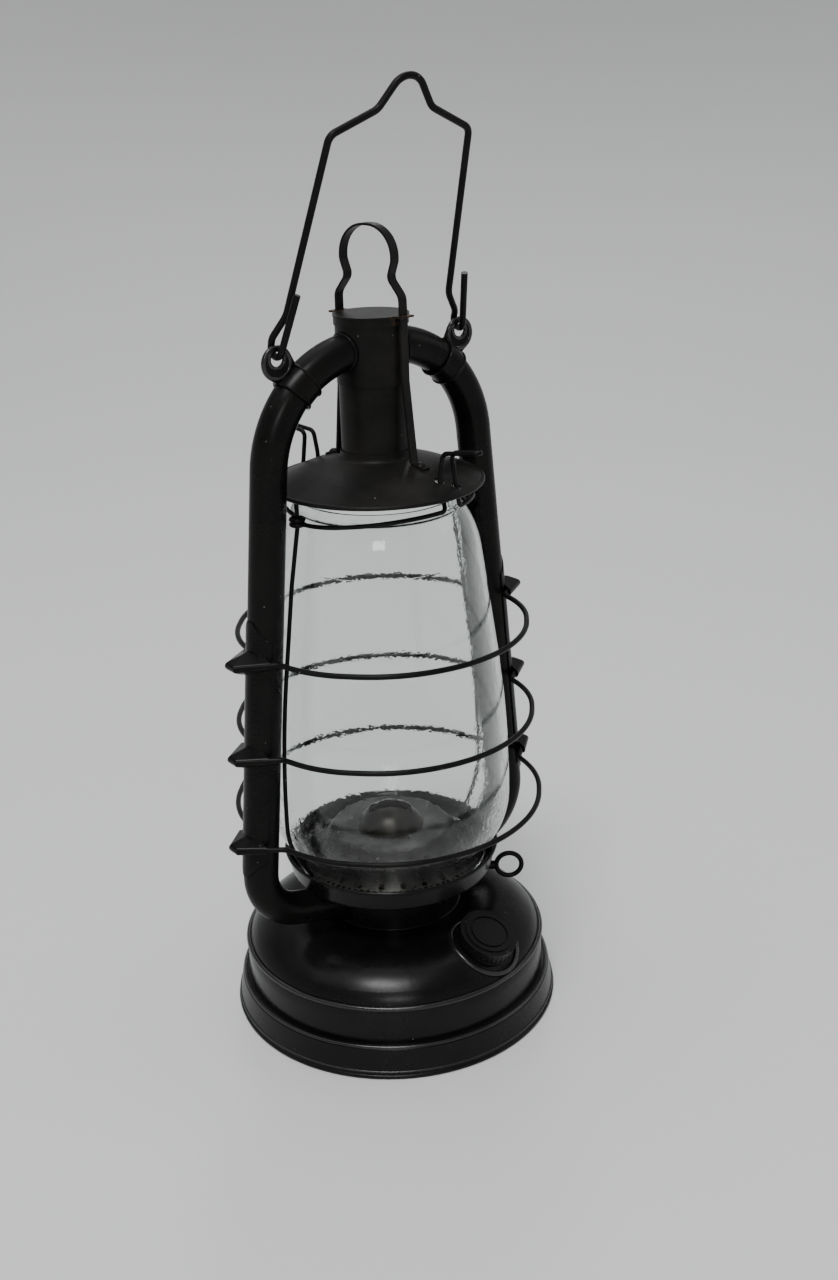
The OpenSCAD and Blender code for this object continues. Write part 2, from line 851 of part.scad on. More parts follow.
module fold_body(i, wrap) {
  corner = [point_x(i), 0, 0];
  turned = 90 - run_angle(i);
  intersection() {
    fold_wedge(corner, turned, wrap);
    fold_wedge(corner, -turned, wrap);
    fold_wedge([tube_x(guard_heights[i]) + guard_offsets[i], 0, 0], 0, wrap);
  }
}

module strip_fold(i) {
  z = guard_heights[i];
  difference() {
    translate([0, 0, z])
      intersection() {
        difference() {
          fold_body(i, fold_wrap + strip_sheet);
          fold_body(i, fold_wrap);
        }
        translate([tube_x(z) + 4.5, -fold_back, -fold_back])
          cube(2 * fold_back);
      }
    on_tube(z - fold_back)
      cylinder(r = strip_outer - strip_sheet / 2, h = 2 * fold_back);
  }
}

module guard_strip() {
  length = strip_high - strip_low;
  inner = tube_r + 0.05;
  side = inner * sin(strip_half_angle) + 1;
  color(black_paint) {
    intersection() {
      on_tube(strip_low)
        rotate([0, 0, -strip_half_angle])
          rotate_extrude(angle = 2 * strip_half_angle)
            translate([inner, 0])
              square([strip_sheet, length]);
      on_tube(strip_low)
        rotate([90, 0, 90])
          linear_extrude(height = 20)
            polygon([
              [-2, 0], [2, 0], [side, tongue], [side, length - tongue],
              [2, length], [-2, length], [-side, length - tongue], [-side, tongue]
            ]);
    }
    for (i = [0, 1, 2])
      strip_fold(i);
  }
}

module right_guard_strip() {
  guard_strip();
}

module left_guard_strip() {
  mirror([1, 0, 0])
    guard_strip();
}

// A guard ring: round the globe, pinched at the tubes and pointed outside them.
module guard_ring(i) {
  angle = run_angle(i);
  x = point_x(i);
  radius = guard_radii[i];
  run = x * cos(angle) - sqrt(radius ^ 2 - (x * sin(angle)) ^ 2);
  pinch = [x - run * cos(angle), run * sin(angle), 0];
  turned = atan2(pinch[1], pinch[0]);
  half = [for (q = arc_corners(radius, turned, 180 - turned, 5)) [q[0], q[1], 0]];
  bends = radius * [0.8, 0.97, 0.97, 0.97, 0.8];
  back = concat([pinch], half, [[-pinch[0], pinch[1], 0]]);
  front = concat([-pinch], -half, [[pinch[0], -pinch[1], 0]]);
  side = concat([pinch_bend], bends, [pinch_bend]);
  color(black_paint)
    translate([0, 0, guard_heights[i]])
      wire_loop(
        concat([[x, 0, 0]], back, [[-x, 0, 0]], front),
        concat([guard_point_bend], side, [guard_point_bend], side),
        guard_wire
      );
}

module guard_ring_upper() {
  guard_ring(0);
}

module guard_ring_middle() {
  guard_ring(1);
}

module guard_ring_lower() {
  guard_ring(2);
}

// Canopy head and its cap.
module canopy_head() {
  color(black_paint)
    difference() {
      ring(head_radius, head_radius - head_sheet, head_bottom, head_top);
      air_tube_outside();
      mirror([1, 0, 0])
        air_tube_outside();
    }
}

module canopy_cap() {
  slot = [strap_thickness + 0.8, strap_width + 1];
  color(black_paint) {
    ring(cap_disc_radius - 0.3, head_radius, head_top - cap_skirt, head_top + sheet / 2);
    translate([0, 0, head_top])
      rotate([0, 0, strap_azimuth])
        linear_extrude(height = sheet)
          difference() {
            union() {
              circle(r = cap_disc_radius);
              square([2 * lug_reach, lug_width], center = true);
            }
            for (side = [-1, 1])
              translate([side * strap_reach, 0])
                square(slot, center = true);
          }
  }
}

module return_spring() {
  rings = spring_turns * 8;
  sides = 6;
  low = chimney_top;
  high = head_top;
  r = spring_wire / 2;
  points = [
    for (i = [0:rings], j = [0:sides - 1])
      let(a = i * 45, b = j * 360 / sides, z = low + r + (high - low - spring_wire) * i / rings)
      [(spring_radius + r * cos(b)) * cos(a), (spring_radius + r * cos(b)) * sin(a), z + r * sin(b)]
  ];
  walls = [
    for (i = [0:rings - 1], j = [0:sides - 1])
      let(k = (j + 1) % sides)
      [i * sides + j, i * sides + k, (i + 1) * sides + k, (i + 1) * sides + j]
  ];
  ends = [[for (j = [sides - 1:-1:0]) j], [for (j = [0:sides - 1]) rings * sides + j]];
  color(spring_steel)
    polyhedron(points = points, faces = concat(walls, ends));
}

// Hood, chimney tube and strap.
module chimney_tube() {
  color(black_paint) {
    ring(chimney_radius, chimney_radius - head_sheet, chimney_bottom, chimney_top);
    ring(chimney_radius - head_sheet, spring_radius - 1.5, chimney_top - head_sheet, chimney_top);
  }
}

module hood() {
  color(black_paint)
    difference() {
      rotate_extrude() {
        sheet_path(hood_line, [0, 2.6, 40, 0], sheet);
        translate([hood_radius - 1, hood_rim_height])
          circle(r = 1);
      }
      for (side = [0, 180])
        rotate([0, 0, strap_azimuth + side]) {
          for (q = [hook_line[1], hook_line[6]])
            translate([q[0], q[1], q[2] - 10])
              cylinder(d = cradle_wire + 2.4, h = 20);
          at_rivet()
            cylinder(d = rivet_shank, h = 8, center = true);
        }
    }
}

module at_rivet() {
  translate([rivet_distance, 0, hood_top_z(rivet_distance)])
    rotate([0, hood_slope, 0])
      children();
}

module lift_strap() {
  half = strap_thickness / 2;
  lie = half / cos(hood_slope);
  middle = strap_top - half;
  strap_foot = rivet_distance - 3.7;
  side_line = [
    [rivet_distance + 3.2, hood_top_z(rivet_distance + 3.2) + lie],
    [strap_foot, hood_top_z(strap_foot) + lie],
    [strap_reach, 312],
    [strap_reach, 345],
    [11.6, 352.5],
    [14.1, 359.3],
    [14.1, middle]
  ];
  bends = [0, 1.2, 30, 6, 4, 6, 13];
  color(black_paint)
    rotate([0, 0, strap_azimuth])
      difference() {
        rotate([90, 0, 0])
          linear_extrude(height = strap_width, center = true)
            sheet_path(
              concat(side_line, mirrored_flat(side_line)),
              concat(bends, reversed(bends)),
              strap_thickness
            );
        for (side = [0, 180])
          rotate([0, 0, side])
            at_rivet()
              cylinder(d = rivet_shank, h = 8, center = true);
      }
}

module strap_rivets() {
  head = 2 * rivet_shank;
  rise = 1.2;
  under_gap = 0.1;
  ball = (head ^ 2 / 4 + rise ^ 2) / 2 / rise;
  color(dark_steel)
    for (side = [0, 180])
      rotate([0, 0, strap_azimuth + side])
        at_rivet() {
          translate([0, 0, -sheet - under_gap])
            cylinder(d = rivet_shank, h = under_gap + sheet + strap_thickness);
          intersection() {
            translate([0, 0, strap_thickness + rise - ball])
              sphere(r = ball);
            translate([0, 0, strap_thickness])
              cylinder(d = head, h = rise);
          }
          translate([0, 0, -sheet - under_gap - 0.6])
            cylinder(d = head, h = 0.6);
        }
}

module globe() {
  color(clear_glass)
    rotate_extrude()
      sheet_path(globe_line, globe_bends, glass);
}

// Wire cradle. The hook's points lie along the strap's direction, across it and up.
hook_line = [
  [41.9, -5, bow_height - 0.2],
  [36.6, -2.2, 268.6],
  [38.6, -1.7, 281],
  [hook_reach, -1.7, hook_height],
  [hook_reach, 1.7, hook_height],
  [40.6, 1.7, 281],
  [42.3, 2.2, 266.3],
  [41.9, 5, bow_height - 0.2]
];
hook_bends = [2.5, 14, 3, 1.6, 1.6, 3, 14, 2.5];

module cradle_bow(eye_z) {
  rise = bow_height - eye_z;
  turned = strap_azimuth + 90;
  left = arc_corners(bow_radius, -177 - turned + 90, -9.5, 3);
  right = arc_corners(bow_radius, 9.5, -3 - turned + 90, 3);
  lift = [for (q = concat(left, right)) eye_z + rise * max(0, min(1, (q[0] + 1) / bow_radius))];
  count = len(left);
  left_points = [for (i = [0:count - 1]) [left[i][0], left[i][1], lift[i]]];
  right_points = [for (i = [0:count - 1]) [right[i][0], right[i][1], lift[count + i]]];
  left_end = bow_radius * [cos(-177 - turned + 90), sin(-177 - turned + 90)];
  right_end = bow_radius * [cos(-3 - turned + 90), sin(-3 - turned + 90)];
  arc_bends = [for (i = [1:count]) bow_radius * 0.9];
  left_tip = [[left_end[0], left_end[1], eye_z]];
  right_tip = [[right_end[0], right_end[1], eye_z]];
  rotate([0, 0, strap_azimuth])
    wire_path(
      concat(left_tip, left_points, hook_line, right_points, right_tip),
      concat([0], arc_bends, hook_bends, arc_bends, [0]),
      cradle_wire
    );
  for (x = [-leg_neck_x, leg_neck_x])
    translate([x, 0, eye_z])
      torus(eye_radius, cradle_wire);
}

module front_cradle_bow() {
  color(black_paint)
    cradle_bow(front_eye_z);
}

module back_cradle_bow() {
  color(black_paint)
    rotate([0, 0, 180])
      cradle_bow(back_eye_z);
}

module cradle_leg() {
  belly = beside(globe_line, 3, leg_offset);
  low = beside(globe_line, 2, leg_offset);
  foot = beside(globe_line, 1, leg_offset);
  line = [
    [leg_neck_x, 0, leg_top],
    [leg_neck_x, 0, 251.5],
    [leg_neck_x + 4.95, 0, 225],
    [belly[0], 0, belly[1]],
    [low[0], 0, low[1]],
    [foot[0], 0, foot[1]],
    [foot[0], 0, cradle_ring_z],
    [globe_foot_radius + 0.2, 0, cradle_ring_z]
  ];
  belly_bends = [globe_bends[3] + leg_offset, globe_bends[2] + leg_offset];
  bends = concat([0, 10, leg_neck_bend], belly_bends, [leg_foot_bend, 2, 0]);
  color(black_paint)
    difference() {
      wire_path(line, bends, cradle_wire);
      translate([0, 0, cradle_ring_z])
        torus(globe_foot_radius, cradle_wire);
    }
}

module right_cradle_leg() {
  cradle_leg();
}

module left_cradle_leg() {
  mirror([1, 0, 0])
    cradle_leg();
}

module cradle_bottom_ring() {
  color(black_paint)
    translate([0, 0, cradle_ring_z])
      torus(globe_foot_radius, cradle_wire);
}

// Ears and bail.
module bail_ear() {
  band_half = 5;
  ear_foot = norm([ear_x - tube_arc_centre[0], ear_z - tube_arc_centre[2]]) - tube_top_bend - 5;
  ear_root = 5.2;
  ear_flare = 75;
  color(black_paint) {
    difference() {
      translate([ear_x, 0, ear_z])
        rotate([90, 0, 0])
          linear_extrude(height = ear_sheet, center = true) {
            circle(r = ear_radius);
            rotate(ear_angle + 180)
              polygon([
                ear_radius * [cos(ear_flare), sin(ear_flare)],
                [ear_foot, ear_root],
                [ear_foot, -ear_root],
                ear_radius * [cos(ear_flare), -sin(ear_flare)]
              ]);
          }
      translate([ear_x, 0, ear_hole_z])
        rotate([90, 0, 0])
          cylinder(r = ear_hole, h = 4, center = true);
      translate(tube_arc_centre)
        rotate([90, 0, 0])
          torus(tube_top_bend, tube_diameter + 0.1 + sheet);
    }
    translate(tube_arc_centre)
      rotate([90, 0, 0])
        rotate([0, 0, ear_angle - band_half])
          rotate_extrude(angle = 2 * band_half)
            translate([tube_top_bend, 0])
              difference() {
                circle(d = tube_diameter + 0.1 + 2 * sheet);
                circle(d = tube_diameter + 0.1);
              }
  }
}

module right_bail_ear() {
  bail_ear();
}

module left_bail_ear() {
  mirror([1, 0, 0])
    bail_ear();
}

module bail() {
  slope = atan2(19.1, 13.5);
  peak_bend = 8.9;
  peak = bail_peak + peak_bend * (1 / cos(slope) - 1);
  side_line = [
    [ear_x - 5, -bail_hook, bail_tail],
    [ear_x, -bail_hook, -bail_hook],
    [ear_x, bail_hook, -bail_hook],
    [ear_x, bail_hook, 3],
    [ear_x - 5.9, bail_hook, 12],
    [35.3, 0, bail_peak - 21.8],
    [13.5, 0, peak - 19.1]
  ];
  side_bends = [0, bail_hook - 0.02, bail_hook - 0.02, 5, 10, 5, 8];
  color(black_paint)
    translate([0, 0, bail_axis_z])
      rotate([bail_lean, 0, 0])
        wire_path(
          concat(side_line, [[0, 0, peak]], mirrored(side_line)),
          concat(side_bends, [peak_bend], reversed(side_bends)),
          bail_wire
        );
}

base_skirt();
fount_bottom();
fount_shell();
filler_neck();
filler_cap();
cap_gasket();
air_chamber();
gallery_pan();
perforated_plate();
burner_dome();
burner_collar();
burner_plug();
wick_tube();
wick();
spindle_bush();
wick_spindle();
feed_wheels();
wick_key();
left_air_tube();
right_air_tube();
left_guard_strip();
right_guard_strip();
guard_ring_upper();
guard_ring_middle();
guard_ring_lower();
canopy_head();
canopy_cap();
return_spring();
chimney_tube();
hood();
lift_strap();
strap_rivets();
globe();
front_cradle_bow();
back_cradle_bow();
left_cradle_leg();
right_cradle_leg();
cradle_bottom_ring();
left_bail_ear();
right_bail_ear();
bail();
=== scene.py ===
# %% [markdown]
# A storm lamp: a black japanned fount on a pressed base, two side tubes that feed air to
# the burner, a clear glass globe held in a wire cradle, a hood that lifts, and a wire bail.
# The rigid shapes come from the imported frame. This notebook gives them their finishes, and
# adds the small soft or melted things that a solid model leaves plain.

# %% Load the frame
import math

import bmesh
import bpy
from mathutils import Matrix, Vector


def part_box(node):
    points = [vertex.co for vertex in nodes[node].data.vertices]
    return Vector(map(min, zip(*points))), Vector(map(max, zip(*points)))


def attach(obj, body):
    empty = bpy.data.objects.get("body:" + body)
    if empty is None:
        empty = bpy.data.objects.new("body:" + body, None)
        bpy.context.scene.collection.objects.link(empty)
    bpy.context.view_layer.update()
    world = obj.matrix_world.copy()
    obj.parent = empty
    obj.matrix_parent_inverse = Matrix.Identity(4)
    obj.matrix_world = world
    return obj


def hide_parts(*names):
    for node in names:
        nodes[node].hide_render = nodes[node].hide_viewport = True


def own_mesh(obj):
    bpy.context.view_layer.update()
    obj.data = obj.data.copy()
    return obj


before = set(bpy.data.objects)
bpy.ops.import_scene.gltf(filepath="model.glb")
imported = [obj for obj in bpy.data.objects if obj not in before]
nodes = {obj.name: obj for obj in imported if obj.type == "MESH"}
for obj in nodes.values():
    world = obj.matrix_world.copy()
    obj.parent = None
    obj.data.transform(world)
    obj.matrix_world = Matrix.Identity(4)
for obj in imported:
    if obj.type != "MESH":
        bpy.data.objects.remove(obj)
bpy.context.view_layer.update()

# %% [markdown]
# The photograph looks down at the lamp from its left front. The camera below stands where
# a fit of the base's and globe's circles puts it. It could be aimed with a constraint, but
# its turn is built from three plain angles instead, pan about the vertical, tilt down from
# the horizon and a small roll, because those can be read and corrected one by one.

# %% Place the camera
FRAME_HEIGHT_PIXELS = 1280
FOCAL_PIXELS = 1448.6
SENSOR_MM = 36.0
camera_place = Vector((-0.3769, -0.5032, 0.4319))
camera_pan = math.radians(-38.34)
camera_tilt = math.radians(21.35)
camera_roll = math.radians(-1.7)

camera_data = bpy.data.cameras.new("photo_camera")
camera_data.sensor_width = SENSOR_MM
camera_data.lens = FOCAL_PIXELS * SENSOR_MM / FRAME_HEIGHT_PIXELS
camera_data.clip_start = 0.02
camera = bpy.data.objects.new("photo_camera", camera_data)
bpy.context.scene.collection.objects.link(camera)
camera.matrix_world = (
    Matrix.Translation(camera_place)
    @ Matrix.Rotation(camera_pan, 4, "Z")
    @ Matrix.Rotation(math.radians(90) - camera_tilt, 4, "X")
    @ Matrix.Rotation(camera_roll, 4, "Z")
)
bpy.context.scene.camera = camera
print("lens in mm:", round(camera_data.lens, 2))

# %% [markdown]
# Every new piece is built as a bmesh, which is Blender's mesh in the making, and then
# turned into an object. Two helpers do what all of them need: one finishes a bmesh as an
# object at the origin, and one spins an outline round the vertical, as a lathe would.


# %% Shared mesh helpers
def new_object(name, shape, smooth=True):
    """Turns a bmesh into a linked mesh object at the origin."""
    bmesh.ops.recalc_face_normals(shape, faces=shape.faces)
    mesh = bpy.data.meshes.new(name)
    shape.to_mesh(mesh)
    shape.free()
    if smooth:
        mesh.shade_smooth()
    made = bpy.data.objects.new(name, mesh)
    bpy.context.scene.collection.objects.link(made)
    return made


def spun(outline, steps, closed):
    """Spins an outline of (radius, height) pairs once round the vertical."""
    shape = bmesh.new()
    corners = [shape.verts.new((r, 0, z)) for r, z in outline]
    pairs = list(zip(corners, corners[1:]))
    if closed:
        pairs.append((corners[-1], corners[0]))
    edges = [shape.edges.new(pair) for pair in pairs]
    bmesh.ops.spin(
        shape,
        geom=corners + edges,
        axis=(0, 0, 1),
        cent=(0, 0, 0),
        steps=steps,
        angle=math.radians(360),
        use_merge=True,
    )
    bmesh.ops.remove_doubles(shape, verts=shape.verts, dist=1e-7)
    return shape


# %% [markdown]
# The lamp stands on a seamless pale grey sweep. A wall on one side would hide the lamp
# from behind, so the sweep is a wide round dish: flat under the lamp, and rising so gently
# further out that no line shows where the floor ends. It is one outline spun round the
# vertical. A dish has no inside, so its faces are turned to look up at the lamp.

# %% Lay the floor
FLOOR_FLAT = 1.1
SWEEP_RADIUS = 3.2
SWEEP_ANGLE = math.radians(80)
SWEEP_STEPS = 24
outline = [(0, 0), (0.4, 0), (0.8, 0), (FLOOR_FLAT, 0)]
for step in range(1, SWEEP_STEPS + 1):
    angle = SWEEP_ANGLE * step / SWEEP_STEPS
    outline.append(
        (FLOOR_FLAT + SWEEP_RADIUS * math.sin(angle), SWEEP_RADIUS * (1 - math.cos(angle)))
    )
floor = new_object("studio_sweep", spun(outline, 96, closed=False))
floor.data.flip_normals()
print("floor faces:", len(floor.data.polygons))


# %% [markdown]
# A finish is a small tree of nodes that ends in one shader. The helpers add a node and
# join it up in one call. Painted images would need each piece unwrapped first, so the
# patterns are computed. They are read from Object coordinates, which are metres in the
# lamp's own frame, so a noise of scale 50 has features about 20 mm across.


# %% Shared finish helpers
def new_finish(name):
    """A material with an empty tree, its shader and its coordinates."""
    material = bpy.data.materials.new(name)
    material.use_nodes = True
    tree = material.node_tree
    shader = tree.nodes["Principled BSDF"]
    place = tree.nodes.new("ShaderNodeTexCoord").outputs["Object"]
    return material, tree, shader, place


def variant(finish, name):
    """A copy of a finish with its tree, shader and coordinates, ready for another layer."""
    material = finish.copy()
    material.name = name
    tree = material.node_tree
    shader = tree.nodes["Principled BSDF"]
    place = next(node for node in tree.nodes if node.type == "TEX_COORD").outputs["Object"]
    return material, tree, shader, place


def add(tree, kind, settings=None, **inputs):
    """Adds a node, sets its options, and fills or joins its inputs."""
    made = tree.nodes.new(kind)
    for name, value in (settings or {}).items():
        setattr(made, name, value)
    for name, value in inputs.items():
        socket = made.inputs[name.replace("_", " ")]
        if isinstance(value, bpy.types.NodeSocket):
            tree.links.new(value, socket)
        else:
            socket.default_value = value
    return made


def noise(tree, place, scale, detail=4.0, roughness=0.55):
    """Smooth random values between 0 and 1."""
    made = add(tree, "ShaderNodeTexNoise", Vector=place, Scale=scale, Detail=detail, Roughness=roughness)
    return made.outputs["Fac"]


def ranged(tree, value, low, high, to_low, to_high):
    """Maps low..high to to_low..to_high and holds it there."""
    made = add(
        tree,
        "ShaderNodeMapRange",
        Value=value,
        From_Min=low,
        From_Max=high,
        To_Min=to_low,
        To_Max=to_high,
    )
    return made.outputs["Result"]


def blended(tree, share, first, second):
    """The first colour where the share is 0, the second where it is 1."""
    made = add(tree, "ShaderNodeMixRGB", Fac=share, Color1=first, Color2=second)
    return made.outputs["Color"]


def math_node(tree, operation, first, second):
    """One sum with two values, each a number or another node's result."""
    made = tree.nodes.new("ShaderNodeMath")
    made.operation = operation
    for socket, value in zip(made.inputs, (first, second)):
        if isinstance(value, bpy.types.NodeSocket):
            tree.links.new(value, socket)
        else:
            socket.default_value = value
    return made.outputs[0]


def bumped(tree, height, strength, depth, under=None):
    """A bump of a real depth in metres, on top of another one if given."""
    made = add(tree, "ShaderNodeBump", Height=height, Strength=strength, Distance=depth)
    if under is not None:
        tree.links.new(under, made.inputs["Normal"])
    return made.outputs["Normal"]


def specks(tree, place, spacing_mm, size):
    """A mask with small round spots about spacing_mm apart, some left out at random."""
    cells = add(
        tree,
        "ShaderNodeTexVoronoi",
        {"feature": "F1"},
        Vector=place,
        Scale=1000 / spacing_mm,
        Randomness=1.0,
    )
    spot = ranged(tree, cells.outputs["Distance"], size * 0.4, size, 1, 0)
    chosen = add(tree, "ShaderNodeSeparateColor", Color=cells.outputs["Color"]).outputs["Red"]
    kept = ranged(tree, chosen, 0.62, 0.66, 0, 1)
    return math_node(tree, "MULTIPLY", spot, kept)


# %% [markdown]
# The sweep is matt paper. One grey would do, but a faint, very large unevenness keeps it
# from looking like one flat colour.

# %% Finish the floor
paper, tree, shader, place = new_finish("pale_paper")
patches = noise(tree, place, 1.3, detail=2)
tree.links.new(
    blended(tree, patches, (0.60, 0.61, 0.60, 1), (0.64, 0.645, 0.635, 1)),
    shader.inputs["Base Color"],
)
shader.inputs["Roughness"].default_value = 0.85
floor.data.materials.append(paper)
print("floor finish:", paper.name)

# %% [markdown]
# Japanned steel is black varnish, baked on thin sheet. Its skin is satin with a slight
# orange peel, it browns where the lamp gets hot, and dust and tiny chips lie in it. One
# function gives the whole family of blacks. The lamp's parts differ in gloss, warmth and
# in how much dust they hold, so those are what it takes. Beads and ridges are rubbed
# bright by hands and by the table, so they get a finish that mirrors more.


# %% Mix the black finishes
def japanned(name, cool, warm, gloss, dusty, shine=0.09, peel=1.0):
    """Baked black varnish: two tones, roughness, share of dust, mirroring and orange peel."""
    material, tree, shader, place = new_finish(name)
    clouds = noise(tree, place, 38, detail=6, roughness=0.6)
    grain = noise(tree, place, 620, detail=3)
    handled = noise(tree, place, 14, detail=3)
    tone = blended(tree, ranged(tree, clouds, 0.38, 0.66, 0, 1), cool + (1,), warm + (1,))
    dust = math_node(tree, "MULTIPLY", ranged(tree, handled, 0.42, 0.7, 0, 1), dusty)
    tone = blended(tree, dust, tone, (0.16, 0.155, 0.14, 1))
    spots = specks(tree, place, spacing_mm=4.2, size=0.06)
    spots = math_node(tree, "MULTIPLY", spots, ranged(tree, handled, 0.44, 0.54, 0, 1))
    tone = blended(tree, math_node(tree, "MULTIPLY", spots, 0.85), tone, (0.50, 0.49, 0.46, 1))
    tree.links.new(tone, shader.inputs["Base Color"])
    worn = math_node(tree, "ADD", math_node(tree, "MULTIPLY", grain, 0.10), gloss - 0.05)
    rough = math_node(tree, "ADD", worn, ranged(tree, handled, 0.35, 0.65, -0.05, 0.07))
    tree.links.new(rough, shader.inputs["Roughness"])
    skin = bumped(tree, noise(tree, place, 230, detail=2), 0.25 * peel, 0.00012)
    tree.links.new(bumped(tree, grain, 0.12 * peel, 0.00005, skin), shader.inputs["Normal"])
    shader.inputs["IOR"].default_value = 1.5
    shader.inputs["Specular IOR Level"].default_value = shine
    return material


fount_black = japanned(
    "fount_black",
    cool=(0.003, 0.003, 0.0033),
    warm=(0.006, 0.0057, 0.0054),
    gloss=0.25,
    dusty=0.015,
    shine=0.16,
)
rubbed_black = japanned(
    "rubbed_black",
    cool=(0.004, 0.004, 0.0042),
    warm=(0.010, 0.0095, 0.009),
    gloss=0.24,
    dusty=0.01,
    shine=0.5,
)
tube_black = japanned(
    "tube_black",
    cool=(0.0025, 0.0025, 0.0026),
    warm=(0.0055, 0.0050, 0.0045),
    gloss=0.28,
    dusty=0.012,
)
heated_black = japanned(
    "heated_black",
    cool=(0.003, 0.003, 0.003),
    warm=(0.0095, 0.0087, 0.0078),
    gloss=0.38,
    dusty=0.04,
)
wire_black = japanned(
    "wire_black",
    cool=(0.003, 0.003, 0.003),
    warm=(0.007, 0.0067, 0.0063),
    gloss=0.32,
    dusty=0.015,
    peel=0.6,
)
blacks = (fount_black, rubbed_black, tube_black, heated_black, wire_black)
print("black finishes:", ", ".join(black.name for black in blacks))

# %% [markdown]
# Bare metal inside the lamp: the air deck is steel darkened by soot, the burner is brass
# that heat and soot have turned nearly black, and the spring under the cap is plain steel
# wire. All are metallic shaders whose colour and roughness wander with soot, so one
# function mixes them.


# %% Mix the metal finishes
def sooted_metal(name, bright, dark, gloss, soot_from):
    """Bare metal: its clean and its sooty tone, its roughness and where the soot begins."""
    material, tree, shader, place = new_finish(name)
    stain = noise(tree, place, 75, detail=6, roughness=0.65)
    grain = noise(tree, place, 900, detail=3)
    sooty = ranged(tree, stain, soot_from, soot_from + 0.25, 0, 1)
    tone = blended(tree, sooty, bright + (1,), dark + (1,))
    tree.links.new(tone, shader.inputs["Base Color"])
    rough = math_node(tree, "ADD", math_node(tree, "MULTIPLY", stain, 0.35), gloss - 0.15)
    tree.links.new(rough, shader.inputs["Roughness"])
    tree.links.new(bumped(tree, grain, 0.2, 0.00006), shader.inputs["Normal"])
    shader.inputs["Metallic"].default_value = 0.9
    return material


deck_steel = sooted_metal(
    "deck_steel",
    bright=(0.050, 0.049, 0.047),
    dark=(0.007, 0.0068, 0.0065),
    gloss=0.40,
    soot_from=0.38,
)
browned_brass = sooted_metal(
    "browned_brass",
    bright=(0.040, 0.035, 0.029),
    dark=(0.010, 0.009, 0.0085),
    gloss=0.34,
    soot_from=0.36,
)
plain_steel = sooted_metal(
    "plain_steel",
    bright=(0.35, 0.34, 0.33),
    dark=(0.12, 0.10, 0.08),
    gloss=0.35,
    soot_from=0.5,
)
print("metals:", deck_steel.name, browned_brass.name, plain_steel.name)

# %% [markdown]
# Besides its two rows of large air holes the deck's slope has a ring of small ones near its
# foot, which keep the draught even. They are too many and too fine to cut, so the finish
# draws them: each spot is found from how far round the lamp it lies and how far out. The
# slope is steep, so a step outwards counts for more along the sheet than on plan. Soot and
# pale crumbs lie on the deck, and its colour turns lighter towards its foot.


# %% Pierce the deck
DECK_SLOPE = math.radians(50)
HOLES_FROM = 0.0393
HOLES_TO = 0.0419


def length_of(tree, first, second):
    """The length of a step whose two parts are square to each other."""
    squares = math_node(
        tree,
        "ADD",
        math_node(tree, "MULTIPLY", first, first),
        math_node(tree, "MULTIPLY", second, second),
    )
    return math_node(tree, "SQRT", squares, 0.0)


def rings_of_holes(tree, turn, out, around, ring_gap, hole, slope):
    """A mask of round holes in rings on a slope, each ring half a step on from the last."""
    rings = math_node(tree, "DIVIDE", out, ring_gap)
    row = math_node(tree, "FLOOR", rings, 0.0)
    steps = math_node(tree, "MULTIPLY", turn, around / (2 * math.pi))
    steps = math_node(tree, "ADD", steps, math_node(tree, "MULTIPLY", row, 0.5))
    aside = math_node(tree, "SUBTRACT", math_node(tree, "FRACT", steps, 0.0), 0.5)
    aside = math_node(tree, "MULTIPLY", aside, math_node(tree, "MULTIPLY", out, 2 * math.pi / around))
    inward = math_node(tree, "SUBTRACT", math_node(tree, "FRACT", rings, 0.0), 0.5)
    inward = math_node(tree, "MULTIPLY", inward, ring_gap / math.cos(slope))
    away = length_of(tree, aside, inward)
    return ranged(tree, away, hole * 0.42, hole * 0.55, 1, 0)


def sooted_deck(tree, place, out, base):
    """The deck's own colour, lighter towards its foot, with soot and a few pale crumbs on it."""
    # The colour turns lighter from the inner edge of the small holes outwards.
    lighter_foot = ranged(tree, out, HOLES_FROM - 0.003, HOLES_FROM, 0, 0.75)
    base = blended(tree, lighter_foot, base, (0.12, 0.117, 0.11, 1))
    crumbs = specks(tree, place, spacing_mm=2.6, size=0.14)
    sooty = noise(tree, place, 320, detail=5, roughness=0.7)
    base = blended(tree, ranged(tree, sooty, 0.52, 0.68, 0, 0.8), base, (0.003, 0.003, 0.003, 1))
    return blended(tree, crumbs, base, (0.55, 0.54, 0.50, 1))


deck_plate, tree, shader, place = variant(deck_steel, "deck_plate")
apart = add(tree, "ShaderNodeSeparateXYZ", Vector=place)
out = length_of(tree, apart.outputs["X"], apart.outputs["Y"])
turn = math_node(tree, "ARCTAN2", apart.outputs["Y"], apart.outputs["X"])
spot = rings_of_holes(tree, turn, out, around=84, ring_gap=0.0028, hole=0.0018, slope=DECK_SLOPE)
past_inner = math_node(tree, "GREATER_THAN", out, HOLES_FROM)
before_outer = math_node(tree, "LESS_THAN", out, HOLES_TO)
spot = math_node(tree, "MULTIPLY", spot, math_node(tree, "MULTIPLY", past_inner, before_outer))
base = sooted_deck(tree, place, out, shader.inputs["Base Color"].links[0].from_socket)
# The small holes are drawn in near-black, which is painted shade for the dark space under the deck.
tree.links.new(blended(tree, spot, base, (0.001, 0.001, 0.001, 1)), shader.inputs["Base Color"])
under = shader.inputs["Normal"].links[0].from_socket
depth = math_node(tree, "SUBTRACT", 1.0, spot)
tree.links.new(bumped(tree, depth, 0.5, 0.0004, under), shader.inputs["Normal"])
print("small holes from", HOLES_FROM * 1000, "to", HOLES_TO * 1000, "mm out")

